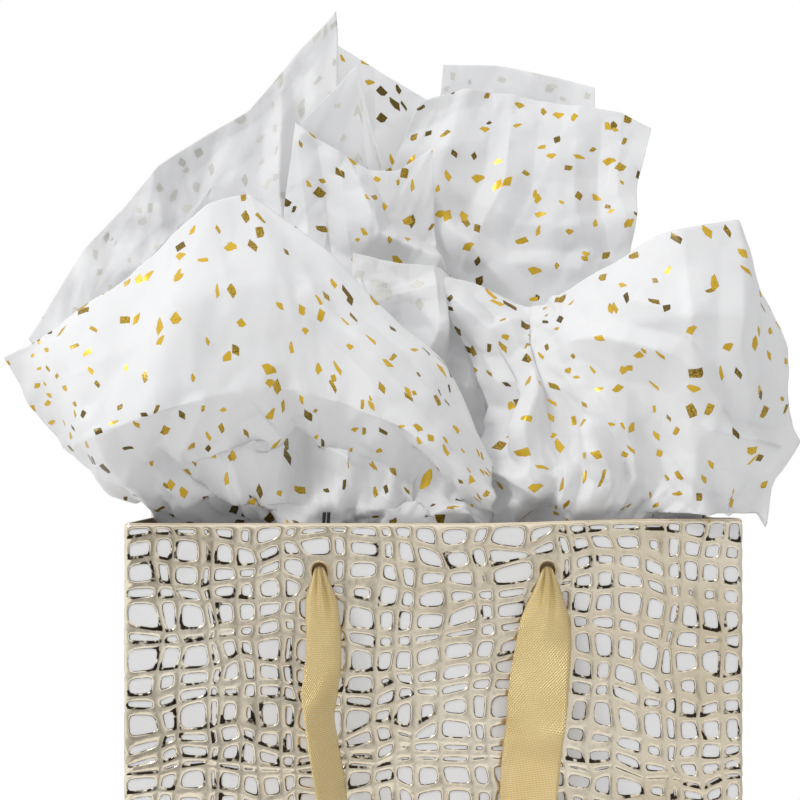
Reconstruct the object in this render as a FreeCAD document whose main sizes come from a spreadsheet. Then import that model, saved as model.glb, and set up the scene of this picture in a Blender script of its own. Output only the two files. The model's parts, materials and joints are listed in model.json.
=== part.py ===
"""Gift bag: a folded paper bag with two ribbon handles and three sheets of tissue paper.

Millimetres. +X is to the right, +Y to the back, +Z up. The origin is the middle of the bag's base,
on the surface that the bag stands on. Lengths come from the sheet "Sizes"; each sub-part is one
object whose Label is the name of its file.
"""

import os

import FreeCAD
import Part
import Sketcher

SIZES = {
    # the bag
    "bag_width": 203,
    "bag_depth": 102,
    "bag_height": 254,
    "paper": 0.35,
    "gusset_tuck": 5.1,
    # turned-in hem and the cards under it
    "hem_height": 38,
    "card": 0.6,
    "card_short": 1,
    "tab_width": 15,
    # base
    "flap_reach": 62,
    "side_flap_reach": 45,
    "board": 1.2,
    "board_play": 1,
    # punched holes and ribbon
    "hole_spacing": 75,
    "hole_drop": 15,
    "hole_radius": 2.5,
    "ribbon_width": 19,
    "ribbon": 0.6,
    "ribbon_off": 2.5,
    "ribbon_drop": 150,
    "neck_width": 6,
    "neck_length": 22,
    "knot_radius": 5.5,
    "stub_radius": 2.1,
    # cord ends tied round the left front knot
    "cord_radius": 0.5,
    "cord_ring": 3.4,
    "cord_rise": 20,
    "cord_lean": 9,
    # tissue paper
    "tissue": 0.35,
    "tissue_low": 165,
    "tissue_split": 4,
    "tissue_wide": 310,
    "mouth_rise": 2,
    "left_spread": 140,
    "left_top": 365,
    "right_spread": 119,
    "right_top": 356,
    "rear_spread": 136,
    "rear_shoulder": 405,
    "rear_peak": 432,
}

NODES = []
UP = FreeCAD.Vector(0, 0, 1)

doc = FreeCAD.newDocument("gift_bag")
sheet = doc.addObject("Spreadsheet::Sheet", "Sizes")
for row, (alias, value) in enumerate(SIZES.items(), start=1):
    sheet.set(f"A{row}", alias)
    sheet.set(f"B{row}", str(value))
    sheet.setAlias(f"B{row}", alias)
doc.recompute()


def bound(words):
    """The expression with each size's name written as its cell in the sheet."""
    for alias in sorted(SIZES, key=len, reverse=True):
        words = words.replace(alias, f"<{list(SIZES).index(alias)}>")
    for number, alias in enumerate(SIZES):
        words = words.replace(f"<{number}>", f"Sizes.{alias}")
    return words


def value_of(words):
    """What an expression in the sheet's sizes comes to."""
    return float(sheet.evalExpression(bound(words)))


def place(item, x="0", y="0", z="0"):
    """Binds an object's position to the sheet."""
    for axis, words in zip("xyz", (x, y, z)):
        item.setExpression(f"Placement.Base.{axis}", bound(words))


def node(item, label):
    """Makes an object one of the bag's sub-parts."""
    item.Label = label
    NODES.append(item)
    return item


def body(label):
    return node(doc.addObject("PartDesign::Body", "body_" + label), label)


def origin_plane(owner, role):
    return next(f for f in owner.Origin.OriginFeatures if f.Role == role)


def hold(sketch, geometry, point, place_words):
    """Fixes one point of a sketch at sheet sizes from the sketch's origin."""
    for kind, words in zip(("DistanceX", "DistanceY"), place_words):
        value = value_of(words)
        fixed = sketch.addConstraint(Sketcher.Constraint(kind, -1, 1, geometry, point, value))
        sketch.setExpression(f"Constraints[{fixed}]", bound(words))


def outline(owner, role, corners, offset="0", holes=()):
    """A closed sketch on one of the body's own planes, each corner and hole held by the sheet."""
    sketch = owner.newObject("Sketcher::SketchObject", "outline")
    sketch.AttachmentSupport = (origin_plane(owner, role), [""])
    sketch.MapMode = "FlatFace"
    sketch.setExpression("AttachmentOffset.Base.z", bound(offset))
    points = [FreeCAD.Vector(value_of(x), value_of(y), 0) for x, y in corners]
    for start, end in zip(points, points[1:] + points[:1]):
        sketch.addGeometry(Part.LineSegment(start, end), False)
    for this in range(len(points)):
        before = (this - 1) % len(points)
        sketch.addConstraint(Sketcher.Constraint("Coincident", before, 2, this, 1))
        hold(sketch, this, 1, corners[this])
    for x, y, radius in holes:
        centre = FreeCAD.Vector(value_of(x), value_of(y), 0)
        circle = sketch.addGeometry(Part.Circle(centre, UP, value_of(radius)), False)
        hold(sketch, circle, 3, (x, y))
        size = sketch.addConstraint(Sketcher.Constraint("Radius", circle, value_of(radius)))
        sketch.setExpression(f"Constraints[{size}]", bound(radius))
    return sketch


def sheet_of(owner, sketch, thickness):
    """Pads a sketch along its own normal."""
    pad = owner.newObject("PartDesign::Pad", "pad")
    pad.Profile = sketch
    pad.setExpression("Length", bound(thickness))
    sketch.Visibility = False
    return pad


def loft_of(owner, kind, sections):
    """Ruled loft through level sections, each (height, corners)."""
    sketches = [outline(owner, "XY_Plane", corners, height) for height, corners in sections]
    loft = owner.newObject(kind, "loft")
    loft.Profile = sketches[0]
    loft.Sections = [(sketch, [""]) for sketch in sketches[1:]]
    loft.Ruled = True
    return loft


def rectangle(left, low, right, high):
    return [(left, low), (right, low), (right, high), (left, high)]


# --- upright walls ---------------------------------------------------------------------------

HALF_WIDTH = "bag_width / 2"
HALF_DEPTH = "bag_depth / 2"
HOLE_LEVEL = "bag_height - hole_drop"
PUNCHED = [(f"{side} * hole_spacing / 2", HOLE_LEVEL, "hole_radius") for side in ("-1", "1")]


def punched_sheet(label, half_width, low, high, thickness, inset):
    """A flat upright sheet with the two ribbon holes; inset is from the bag's outer face."""
    front = label.startswith("front")
    owner = body(label)
    corners = rectangle(f"-({half_width})", low, half_width, high)
    sheet_of(owner, outline(owner, "XZ_Plane", corners, holes=PUNCHED), thickness)
    face = f"{HALF_DEPTH} - ({inset})"
    place(owner, y=f"-({face}) + ({thickness})" if front else face)


def gusset_half(label, low, high, depth_end, inset):
    """Half of a side wall: straight at the base, tucked in at the crease under the rim.

    depth_end is where it meets the front or back wall; inset is from the bag's outer face.
    """
    side = "-1" if label.startswith("left") else "1"
    end = "-1" if "front" in label else "1"

    def across(level):
        tuck = f"gusset_tuck * ({level}) / bag_height"
        outer = f"{HALF_WIDTH} - ({inset})"
        corner = f"({outer}) - ({tuck}) * (1 - ({depth_end}) / (bag_depth / 2))"
        crease = f"({outer}) - ({tuck})"
        return [
            (f"{side} * ({corner})", f"{end} * ({depth_end})"),
            (f"{side} * ({crease})", "0"),
            (f"{side} * (({crease}) - paper)", "0"),
            (f"{side} * (({corner}) - paper)", f"{end} * ({depth_end})"),
        ]

    loft_of(body(label), "PartDesign::AdditiveLoft", [(low, across(low)), (high, across(high))])


for wall in ("front", "back"):
    punched_sheet(f"{wall}_panel", HALF_WIDTH, "0", "bag_height", "paper", "0")
    punched_sheet(
        f"{wall}_reinforcement_card",
        f"{HALF_WIDTH} - 2 * paper - gusset_tuck",
        "bag_height - hem_height + card_short",
        "bag_height - card_short",
        "card",
        "paper",
    )
    punched_sheet(
        f"{wall}_hem",
        f"{HALF_WIDTH} - 2 * paper - gusset_tuck",
        "bag_height - hem_height",
        "bag_height",
        "paper",
        "paper + card",
    )

for side in ("left", "right"):
    for wall in ("front", "rear"):
        gusset_half(f"{side}_gusset_{wall}", "0", "bag_height", f"{HALF_DEPTH} - paper", "0")
        gusset_half(
            f"{side}_gusset_{wall}_hem",
            "bag_height - hem_height",
            "bag_height",
            f"{HALF_DEPTH} - 3 * paper - card",
            "paper",
        )


def side_seam_tab():
    """The glued strip inside the back wall that closes the sheet into a tube."""
    owner = body("side_seam_tab")
    left = f"-({HALF_WIDTH} - 2 * paper)"
    base_stack = "4 * paper + board"
    corners = rectangle(left, base_stack, f"{left} + tab_width", "bag_height - hem_height")
    corners[3] = (f"{left} + gusset_tuck", corners[3][1])
    sheet_of(owner, outline(owner, "XZ_Plane", corners), "paper")
    place(owner, y=f"{HALF_DEPTH} - paper")


side_seam_tab()


# --- base ------------------------------------------------------------------------------------


def level_sheet(label, corners, thickness, level):
    owner = body(label)
    sheet_of(owner, outline(owner, "XY_Plane", corners), thickness)
    place(owner, z=level)


def base():
    """Four flaps folded under each other and the loose board on top of them."""
    inner_x = f"({HALF_WIDTH} - paper)"
    inner_y = f"({HALF_DEPTH} - paper)"
    reach = f"({inner_y} - flap_reach)"
    back = rectangle(f"-{inner_x}", reach, inner_x, inner_y)
    front = rectangle(f"-{inner_x}", f"-{inner_y}", inner_x, f"-{reach}")
    level_sheet("base_flap_back", back, "paper", "0")
    level_sheet("base_flap_front", front, "paper", "paper")
    for label, sign in (("base_flap_left", "-1"), ("base_flap_right", "1")):
        edge = f"{sign} * {inner_x}"
        tip = f"{sign} * ({inner_x} - side_flap_reach)"
        narrow = f"({inner_y} - side_flap_reach / 2)"
        trapezium = [(edge, f"-{inner_y}"), (edge, inner_y), (tip, narrow), (tip, f"-{narrow}")]
        level_sheet(label, trapezium, "paper", "2 * paper")
    half_x = f"({inner_x} - board_play)"
    half_y = f"({inner_y} - board_play)"
    board = rectangle(f"-{half_x}", f"-{half_y}", half_x, half_y)
    level_sheet("base_board", board, "board", "3 * paper")


base()


# --- ribbon handles and knots ----------------------------------------------------------------


def solid(kind, name, sizes, x="0", y="0", z="0"):
    """A Part primitive with its sizes and position bound to the sheet."""
    item = doc.addObject("Part::" + kind, name)
    for key, words in sizes.items():
        item.setExpression(key, bound(words))
    place(item, x, y, z)
    return item


def joined(label, pieces):
    fuse = doc.addObject("Part::MultiFuse", label)
    fuse.Shapes = pieces
    return fuse


LEG_PLANE = f"({HALF_DEPTH} + ribbon_off)"
BEND_LEVEL = f"({HOLE_LEVEL} - ribbon_drop + hole_spacing / 2)"
ALONG_Y = FreeCAD.Rotation(FreeCAD.Vector(1, 0, 0), -90)


def handle(label, out):
    """A hanging ribbon loop: two necks, two flat legs and a band that turns under, edge outward."""
    pieces = []
    leg_height = f"{HOLE_LEVEL} - neck_length - {BEND_LEVEL}"
    slab_y = f"{out} * {LEG_PLANE} - ribbon / 2"
    for sign in ("-1", "1"):
        middle = f"{sign} * hole_spacing / 2"
        neck = {"Length": "neck_width", "Width": "ribbon", "Height": "neck_length"}
        leg = {"Length": "ribbon_width", "Width": "ribbon", "Height": leg_height}
        neck_x = f"{middle} - neck_width / 2"
        leg_x = f"{middle} - ribbon_width / 2"
        pieces.append(solid("Box", "neck", neck, neck_x, slab_y, f"{HOLE_LEVEL} - neck_length"))
        pieces.append(solid("Box", "leg", leg, leg_x, slab_y, BEND_LEVEL))
    rings = []
    near = f"{LEG_PLANE} - ribbon / 2"
    band_y = near if out == "1" else f"-({near}) - ribbon_width"
    for name, grow in (("bend_outside", "ribbon / 2"), ("bend_inside", "-ribbon / 2")):
        sizes = {"Radius": f"hole_spacing / 2 + ({grow})", "Height": "ribbon_width"}
        drum = solid("Cylinder", name, sizes, y=band_y, z=BEND_LEVEL)
        drum.Placement.Rotation = ALONG_Y
        drum.Angle = 180
        rings.append(drum)
    band = doc.addObject("Part::Cut", "bend")
    band.Base, band.Tool = rings
    node(joined(label, pieces + [band]), label)


def knot(label, sign, out):
    """A tied knot behind the hem with the pinched ribbon running out through the hole."""
    hem_face = f"({HALF_DEPTH} - 2 * paper - card)"
    centre_y = f"{out} * ({hem_face} - knot_radius)"
    middle = f"{sign} * hole_spacing / 2"
    ball = solid("Sphere", "ball", {"Radius": "knot_radius"}, middle, centre_y, HOLE_LEVEL)
    reach = f"({LEG_PLANE} - ribbon - {hem_face} + knot_radius)"
    start = centre_y if out == "1" else f"{centre_y} - {reach}"
    sizes = {"Radius": "stub_radius", "Height": reach}
    stub = solid("Cylinder", "stub", sizes, middle, start, HOLE_LEVEL)
    stub.Placement.Rotation = ALONG_Y
    node(joined(label, [ball, stub]), label)


for wall, out in (("front", "-1"), ("back", "1")):
    handle(f"{wall}_handle_ribbon", out)
    for side, sign in (("left", "-1"), ("right", "1")):
        knot(f"{wall}_{side}_ribbon_knot", sign, out)


def tag_cord_ends():
    """A loop of thin cord round the left front knot's neck, with its two cut ends standing up."""
    middle = "-hole_spacing / 2"
    plane = f"-({HALF_DEPTH} - 2 * paper - card - cord_radius)"
    ring = {"Radius1": "cord_ring", "Radius2": "cord_radius"}
    loop = solid("Torus", "cord_loop", ring, middle, plane, HOLE_LEVEL)
    loop.Placement.Rotation = ALONG_Y
    pieces = [loop]
    lean = FreeCAD.Rotation(FreeCAD.Vector(0, 1, 0), SIZES["cord_lean"])
    for name, shift in (("cord_end_left", "-1.1 * cord_radius"), ("cord_end_right", "1.1 * cord_radius")):
        sizes = {"Radius": "cord_radius", "Height": "cord_rise - cord_ring"}
        end = solid("Cylinder", name, sizes, f"{middle} + {shift}", plane, f"{HOLE_LEVEL} + cord_ring")
        end.Placement.Rotation = lean
        pieces.append(end)
    node(joined("tag_cord_ends", pieces), "tag_cord_ends")


tag_cord_ends()


# --- tissue paper ----------------------------------------------------------------------------


def tissue(label, sections):
    """A pinched sheet as a thin flared cup, open at the top. Each section is
    (level, left, front, right, back), from the pinch upward."""
    owner = body(label)
    outer = [(level, rectangle(*sides)) for level, *sides in sections]
    loft_of(owner, "PartDesign::AdditiveLoft", outer)
    inner = []
    for level, left, front, right, back in sections:
        sides = (f"{left} + tissue", f"{front} + tissue", f"{right} - tissue", f"{back} - tissue")
        inner.append((level, rectangle(*sides)))
    inner[0] = (f"{inner[0][0]} + tissue", inner[0][1])
    loft_of(owner, "PartDesign::SubtractiveLoft", inner)


MOUTH = "bag_height + mouth_rise"
SPLIT = "tissue_split"
tissue(
    "tissue_left",
    [
        ("tissue_low", "-60", "-26", f"-{SPLIT}", "12"),
        (MOUTH, "-90", "-37", f"-{SPLIT}", "16"),
        ("tissue_wide", "-left_spread", "-48", f"-{SPLIT}", "16"),
        ("left_top", "-80", "-34", f"-{SPLIT}", "12"),
    ],
)
tissue(
    "tissue_right",
    [
        ("tissue_low", SPLIT, "-26", "60", "12"),
        (MOUTH, SPLIT, "-37", "90", "16"),
        ("tissue_wide", SPLIT, "-48", "right_spread", "16"),
        ("right_top", SPLIT, "-34", "100", "12"),
    ],
)
tissue(
    "tissue_back",
    [
        ("tissue_low", "-45", "22", "45", "34"),
        (MOUTH, "-84", "20", "84", "37"),
        ("tissue_wide + 15", "-rear_spread", "20", "76", "52"),
        ("rear_shoulder", "-66", "20", "74", "48"),
        ("rear_peak", "-42", "20", "-28", "34"),
    ],
)


# --- check and write -------------------------------------------------------------------------

doc.recompute()
for item in doc.Objects:
    faults = {"Invalid", "Error"} & set(item.State)
    if faults:
        raise RuntimeError(f"{item.Label}: {sorted(faults)}")
os.makedirs("parts", exist_ok=True)
for item in NODES:
    shape = item.Shape
    if shape.isNull() or not shape.isValid() or not shape.Solids:
        raise RuntimeError(f"{item.Label}: no valid solid")
    shape.exportStep(f"parts/{item.Label}.step")
    print(f"{item.Label}: {len(shape.Solids)} solid, {shape.Volume / 1000:.3f} cm3, box {shape.BoundBox}")
print(len(NODES), "sub-parts")
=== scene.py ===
"""Looks of the gift bag: embossed foil paper, satin ribbon handles and gold-flecked tissue.

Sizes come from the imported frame. Lengths in lists are millimetres in the frame's own axes
(+X right, +Y back, +Z up, origin under the middle of the bag); mm() turns them into metres.
"""

import json
import math

import bpy
import numpy as np
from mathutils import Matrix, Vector


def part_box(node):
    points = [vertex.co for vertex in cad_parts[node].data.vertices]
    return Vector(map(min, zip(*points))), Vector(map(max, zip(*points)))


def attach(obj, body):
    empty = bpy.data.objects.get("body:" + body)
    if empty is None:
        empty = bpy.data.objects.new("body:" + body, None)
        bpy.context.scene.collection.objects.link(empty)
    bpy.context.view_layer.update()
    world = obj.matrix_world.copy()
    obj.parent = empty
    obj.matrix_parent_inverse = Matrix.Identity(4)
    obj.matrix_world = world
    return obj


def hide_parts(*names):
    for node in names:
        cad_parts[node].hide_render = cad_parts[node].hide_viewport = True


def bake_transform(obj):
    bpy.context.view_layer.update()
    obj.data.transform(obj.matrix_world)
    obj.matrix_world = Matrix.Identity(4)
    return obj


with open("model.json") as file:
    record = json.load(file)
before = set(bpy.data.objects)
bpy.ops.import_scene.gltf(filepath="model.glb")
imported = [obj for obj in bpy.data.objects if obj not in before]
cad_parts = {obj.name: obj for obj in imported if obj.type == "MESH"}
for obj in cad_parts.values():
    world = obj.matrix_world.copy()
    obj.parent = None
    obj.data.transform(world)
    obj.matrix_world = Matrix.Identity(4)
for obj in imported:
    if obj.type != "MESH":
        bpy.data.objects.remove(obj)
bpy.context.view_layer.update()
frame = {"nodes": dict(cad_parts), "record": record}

MM = 0.001
PANEL_LOW, PANEL_HIGH = (np.array(corner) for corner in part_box("front_panel"))
HALF_WIDTH = float(PANEL_HIGH[0])
HALF_DEPTH = float(-PANEL_LOW[1])
HEIGHT = float(PANEL_HIGH[2])
PAPER = float(PANEL_HIGH[1] - PANEL_LOW[1])
TUCK = float(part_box("left_gusset_front")[1][0]) + HALF_WIDTH - PAPER
HEM_LOW = float(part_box("front_hem")[0][2])
HEM_INSET = HALF_DEPTH + float(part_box("front_hem")[0][1])
KNOTS = {name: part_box(name) for name in frame["nodes"] if name.endswith("ribbon_knot")}
HOLE_X = sum(float(c[0]) for c in KNOTS["front_right_ribbon_knot"]) / 2
HOLE_Z = sum(float(c[2]) for c in KNOTS["front_right_ribbon_knot"]) / 2
HOLE_RADIUS = 2.5 * MM
RIBBON_WIDTH = float(np.ptp([c[1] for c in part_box("front_handle_ribbon")]))


def mm(points):
    return np.array(points, float) * MM


# --- small tools -----------------------------------------------------------------------------


def smooth_step(value, low, high):
    t = np.clip((value - low) / (high - low), 0, 1)
    return t * t * (3 - 2 * t)


def drift(u, v, length, seed, waves=7):
    """Smooth random field of u and v, about -1 to 1, whose bumps are about length apart."""
    rng = np.random.default_rng(seed)
    total = np.zeros(np.broadcast(u, v).shape)
    for _ in range(waves):
        angle = rng.uniform(0, math.tau)
        stretch = rng.uniform(0.6, 1.5) * math.tau / length
        phase = rng.uniform(0, math.tau)
        total += np.sin((u * math.cos(angle) + v * math.sin(angle)) * stretch + phase)
    return total / math.sqrt(waves)


def creases(u, v, pitch, seed, folds=9):
    """Height field of crumpled paper: flat facets between sharp folds in many directions."""
    rng = np.random.default_rng(seed)
    total = np.zeros(np.broadcast(u, v).shape)
    for fold in range(folds):
        angle = rng.uniform(0, math.pi)
        width = pitch * rng.uniform(0.6, 2.2)
        phase = rng.uniform(0, 1)
        bend = 0.14 * drift(u, v, 4 * width, seed + 31 * fold + 1)
        across = (u * math.cos(angle) + v * math.sin(angle)) / width + phase + bend
        where = np.clip(0.5 + 0.9 * drift(u, v, 4 * pitch, seed + 57 * fold + 2), 0, 1)
        total += where * width * (np.abs(across % 1 - 0.5) - 0.25)
    return total / math.sqrt(folds)


def spline(points, samples):
    """Catmull-Rom curve through rows of points, sampled evenly; works along axis 0."""
    points = np.asarray(points, float)
    ends = (2 * points[:1] - points[1:2], 2 * points[-1:] - points[-2:-1])
    padded = np.concatenate([ends[0], points, ends[1]])
    at = np.linspace(0, len(points) - 1, samples)
    first = np.minimum(at.astype(int), len(points) - 2)
    t = (at - first).reshape(-1, *[1] * (points.ndim - 1))
    a, b, c, d = (padded[first + k] for k in range(4))
    cubic = 2 * b + (c - a) * t + (2 * a - 5 * b + 4 * c - d) * t**2
    return 0.5 * (cubic + (3 * b - a - 3 * c + d) * t**3)


def straight(points, samples):
    """Straight runs between rows of points, sampled as spline() samples them."""
    points = np.asarray(points, float)
    at = np.linspace(0, len(points) - 1, samples)
    first = np.minimum(at.astype(int), len(points) - 2)
    t = (at - first).reshape(-1, *[1] * (points.ndim - 1))
    return points[first] * (1 - t) + points[first + 1] * t


def panels(net, rows, across, crisp):
    """Surface through a net of points: crisp is 0 for a smooth one and 1 for flat panels."""
    surfaces = []
    for method in (spline, straight):
        grid = method(net, rows)
        surfaces.append(np.swapaxes(method(np.swapaxes(grid, 0, 1), across), 0, 1))
    return surfaces[0] * (1 - crisp) + surfaces[1] * crisp


def grid_normals(grid):
    along = np.gradient(grid, axis=1)
    up = np.gradient(grid, axis=0)
    normal = np.cross(along, up)
    return normal / np.maximum(np.linalg.norm(normal, axis=2, keepdims=True), 1e-12)


def pleats_at(u, height, pitch, seed):
    """Height field of folds that run up from a pinch, each to its own height."""
    rng = np.random.default_rng(seed)
    places = np.cumsum(rng.uniform(0.6, 1.5, 60)) * pitch
    tops = rng.uniform(0.42, 0.80, 60)
    leans = rng.normal(0, 0.10, 60)
    total = np.zeros(u.shape)
    for place, top, lean in zip(places, tops, leans):
        gap = np.abs(u - place - lean * (height - 0.4) * pitch * 8) / (0.55 * pitch)
        total += np.clip(1 - gap, 0, 1) * smooth_step(top - height, 0, 0.28)
    return total * pitch


def grid_faces(rows, columns):
    start = (np.arange(rows - 1)[:, None] * columns + np.arange(columns - 1)).ravel()
    return np.stack([start, start + 1, start + columns + 1, start + columns], axis=1)


def mesh_object(name, points, faces, materials, material_of=None, uv=None):
    mesh = bpy.data.meshes.new(name)
    mesh.from_pydata(np.asarray(points).tolist(), [], [list(map(int, f)) for f in faces])
    for material in materials:
        mesh.materials.append(material)
    if material_of is not None:
        mesh.polygons.foreach_set("material_index", np.asarray(material_of, np.int32))
    if uv is not None:
        corners = np.empty(len(mesh.loops), np.int32)
        mesh.loops.foreach_get("vertex_index", corners)
        layer = mesh.uv_layers.new(name="flat")
        layer.data.foreach_set("uv", np.asarray(uv, np.float32)[corners].ravel())
    mesh.polygons.foreach_set("use_smooth", np.full(len(mesh.polygons), True))
    mesh.update()
    thing = bpy.data.objects.new(name, mesh)
    bpy.context.collection.objects.link(thing)
    return thing


def thicken(thing, thickness):
    """Gives a sheet its thickness; its other face takes the next material."""
    solid = thing.modifiers.new("thickness", "SOLIDIFY")
    solid.thickness = thickness
    solid.offset = -1
    solid.material_offset = 1
    solid.material_offset_rim = 0


# --- materials -------------------------------------------------------------------------------


class Nodes:
    """A node tree with one line per node."""

    def __init__(self, tree):
        self.tree = tree
        self.tree.nodes.clear()

    def node(self, kind, inputs=(), **settings):
        made = self.tree.nodes.new(kind)
        for key, value in settings.items():
            setattr(made, key, value)
        for key, value in dict(inputs).items():
            if isinstance(value, bpy.types.NodeSocket):
                self.tree.links.new(value, made.inputs[key])
            else:
                made.inputs[key].default_value = value
        return made

    def maths(self, operation, first, second=0.0):
        return self.node("ShaderNodeMath", {0: first, 1: second}, operation=operation).outputs[0]

    def mix(self, share, first, second):
        """Colour mix of first and second."""
        inputs = {0: share, 6: first, 7: second}
        return self.node("ShaderNodeMix", inputs, data_type="RGBA").outputs[2]

    def noise(self, place, scale, detail=3.0, rough=0.5):
        inputs = {"Vector": place, "Scale": scale, "Detail": detail, "Roughness": rough}
        return self.node("ShaderNodeTexNoise", inputs).outputs[0]

    def ramp(self, value, low, high):
        """0 below low, 1 above high."""
        inputs = {0: value, 1: low, 2: high}
        return self.node("ShaderNodeMapRange", inputs, clamp=True).outputs[0]

    def spread(self, share, at_none, at_full):
        """A share from 0 to 1 made into a value from at_none to at_full."""
        return self.node("ShaderNodeMapRange", {0: share, 3: at_none, 4: at_full}).outputs[0]

    def place(self, kind="Object"):
        return self.node("ShaderNodeTexCoord").outputs[kind]

    def parts(self, vector):
        return self.node("ShaderNodeSeparateXYZ", {0: vector}).outputs


class Shader(Nodes):
    """A material's node tree."""

    def __init__(self, name):
        self.material = bpy.data.materials.new(name)
        self.material.use_nodes = True
        super().__init__(self.material.node_tree)

    def bump(self, height, strength, distance, before=None):
        inputs = {"Height": height, "Strength": strength, "Distance": distance}
        if before is not None:
            inputs["Normal"] = before
        return self.node("ShaderNodeBump", inputs).outputs[0]

    def finish(self, surface):
        output = self.tree.nodes.new("ShaderNodeOutputMaterial")
        self.tree.links.new(surface, output.inputs["Surface"])
        return self.material

    def principled(self, inputs):
        return self.node("ShaderNodeBsdfPrincipled", inputs).outputs[0]


def rgb(red, green, blue):
    return (red, green, blue, 1.0)


def foil_material():
    """Champagne foil bands: brushed by handling, with painted shade: a dark line painted into the colour
    where the sides of the cells turn away, for the dark surroundings they reflect.
    """
    s = Shader("champagne_foil")
    place = s.place()
    cloud = s.noise(place, 18.0, 4.0)
    fine = s.noise(place, 900.0, 2.0)
    tone = s.mix(s.ramp(cloud, 0.35, 0.65), rgb(0.78, 0.68, 0.51), rgb(0.95, 0.87, 0.71))
    # Painted shade: where the outline attribute is high, round the foot of each cell's wall, the colour
    # is darkened nearly to black as a painted dark reflection, broken up by fine noise.
    line = s.node("ShaderNodeAttribute", attribute_name="outline").outputs["Fac"]
    broken = s.noise(place, 420.0, 2.0)
    dark = s.ramp(line, 0.50, 0.76)
    painted_shade = s.maths("MULTIPLY", dark, s.ramp(broken, 0.38, 0.50))
    colour = s.mix(painted_shade, tone, rgb(0.035, 0.025, 0.015))
    rough = s.spread(cloud, 0.10, 0.24)
    soft = s.bump(fine, 0.10, 0.0002)
    wave = s.bump(s.noise(place, 140.0, 2.0), 0.35, 0.0010, soft)
    return s.finish(
        s.principled({"Base Color": colour, "Metallic": 0.92, "Roughness": rough, "Normal": wave})
    )


def cell_material():
    """Pale pressed paper at the bottom of the cells, under a clear film."""
    s = Shader("pale_cells")
    place = s.place()
    cloud = s.noise(place, 25.0, 3.0)
    colour = s.mix(s.ramp(cloud, 0.3, 0.7), rgb(0.76, 0.755, 0.755), rgb(0.83, 0.83, 0.835))
    soft = s.bump(s.noise(place, 500.0, 2.0), 0.08, 0.0002)
    rough = s.spread(cloud, 0.28, 0.42)
    return s.finish(s.principled({"Base Color": colour, "Roughness": rough, "Normal": soft}))


def kraft_material(name, pale, deep):
    """Uncoated paper or card with short fibres."""
    s = Shader(name)
    place = s.place()
    stretch = s.node("ShaderNodeMapping", {"Vector": place, "Scale": (1.0, 1.0, 0.25)}).outputs[0]
    fibres = s.noise(stretch, 1500.0, 3.0, 0.7)
    cloud = s.noise(place, 40.0, 3.0)
    colour = s.mix(s.ramp(fibres, 0.35, 0.65), deep, pale)
    shade = s.mix(s.ramp(cloud, 0.2, 0.9), colour, deep)
    return s.finish(
        s.principled(
            {"Base Color": shade, "Roughness": 0.8, "Normal": s.bump(fibres, 0.25, 0.0002)}
        )
    )


TWILL = 1.2 * MM


def satin_material(name, pale, deep, shine):
    """Satin ribbon: threads that cross on two diagonals, with a metallic shine; the sheen on the threads
    is partly painted into the colour.
    """
    s = Shader(name)
    flat = s.node("ShaderNodeUVMap", uv_map="flat").outputs[0]
    across, along, _ = s.parts(flat)
    rising = s.maths("ADD", s.maths("MULTIPLY", across, 1.3), along)
    falling = s.maths("SUBTRACT", s.maths("MULTIPLY", across, 1.3), along)
    first = s.maths("SINE", s.maths("MULTIPLY", rising, math.tau / TWILL))
    second = s.maths("SINE", s.maths("MULTIPLY", falling, math.tau / TWILL))
    weave = s.maths("ADD", s.maths("MULTIPLY", first, 0.55), s.maths("MULTIPLY", second, 0.45))
    cloud = s.noise(flat, 70.0, 3.0)
    # Painted sheen: the weave's colour runs from deep to pale across the crossing threads, standing for
    # the shine on them.
    lit = s.mix(s.ramp(weave, -0.5, 0.25), deep, pale)
    colour = s.mix(s.maths("MULTIPLY", s.ramp(cloud, 0.35, 0.75), 0.25), lit, pale)
    rough = s.node("ShaderNodeMapRange", {0: weave, 1: -1.0, 2: 1.0, 3: 0.40, 4: 0.20}).outputs[0]
    inputs = {"Base Color": colour, "Roughness": rough, "Metallic": shine}
    inputs["Normal"] = s.bump(weave, 0.8, 0.27 * MM)
    inputs["Sheen Weight"] = 0.12
    inputs["Sheen Roughness"] = 0.4
    return s.finish(s.principled(inputs))


def flecks(s, flat, spacing, offset):
    """Masks of scattered foil flecks: each a turned, corner-cut block of its own size."""
    small, large = 0.55 * MM / spacing, 1.95 * MM / spacing
    moved = s.node("ShaderNodeMapping", {"Vector": flat, "Location": offset}).outputs[0]
    scaled = s.node("ShaderNodeVectorMath", {0: moved, 3: 1 / spacing}, operation="SCALE").outputs[0]
    cells = s.node("ShaderNodeTexVoronoi", {"Vector": scaled, "Scale": 1.0}, voronoi_dimensions="2D")
    here = s.node(
        "ShaderNodeVectorMath", {0: scaled, 1: cells.outputs["Position"]}, operation="SUBTRACT"
    ).outputs[0]
    chance = s.node("ShaderNodeSeparateColor", {0: cells.outputs["Color"]})
    angle = s.maths("MULTIPLY", chance.outputs[0], math.tau)
    turned = s.node(
        "ShaderNodeVectorRotate", {"Vector": here, "Angle": angle}, rotation_type="Z_AXIS"
    ).outputs[0]
    x, y, _ = s.parts(turned)
    a = s.maths("DIVIDE", x, s.spread(chance.outputs[1], 1.4 * small, large))
    b = s.maths("DIVIDE", y, s.spread(chance.outputs[2], small, 0.8 * large))
    lean = s.maths("ADD", a, s.maths("MULTIPLY", b, 0.2))
    block = s.maths("MAXIMUM", s.maths("ABSOLUTE", lean), s.maths("ABSOLUTE", b))
    steep = s.spread(chance.outputs[0], 0.35, 1.25)
    cut = s.maths("ADD", s.maths("MULTIPLY", lean, steep), s.maths("MULTIPLY", b, 0.8))
    shape = s.maths("MAXIMUM", block, cut)
    return s.maths("LESS_THAN", shape, 1.0), chance.outputs[0]


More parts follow.
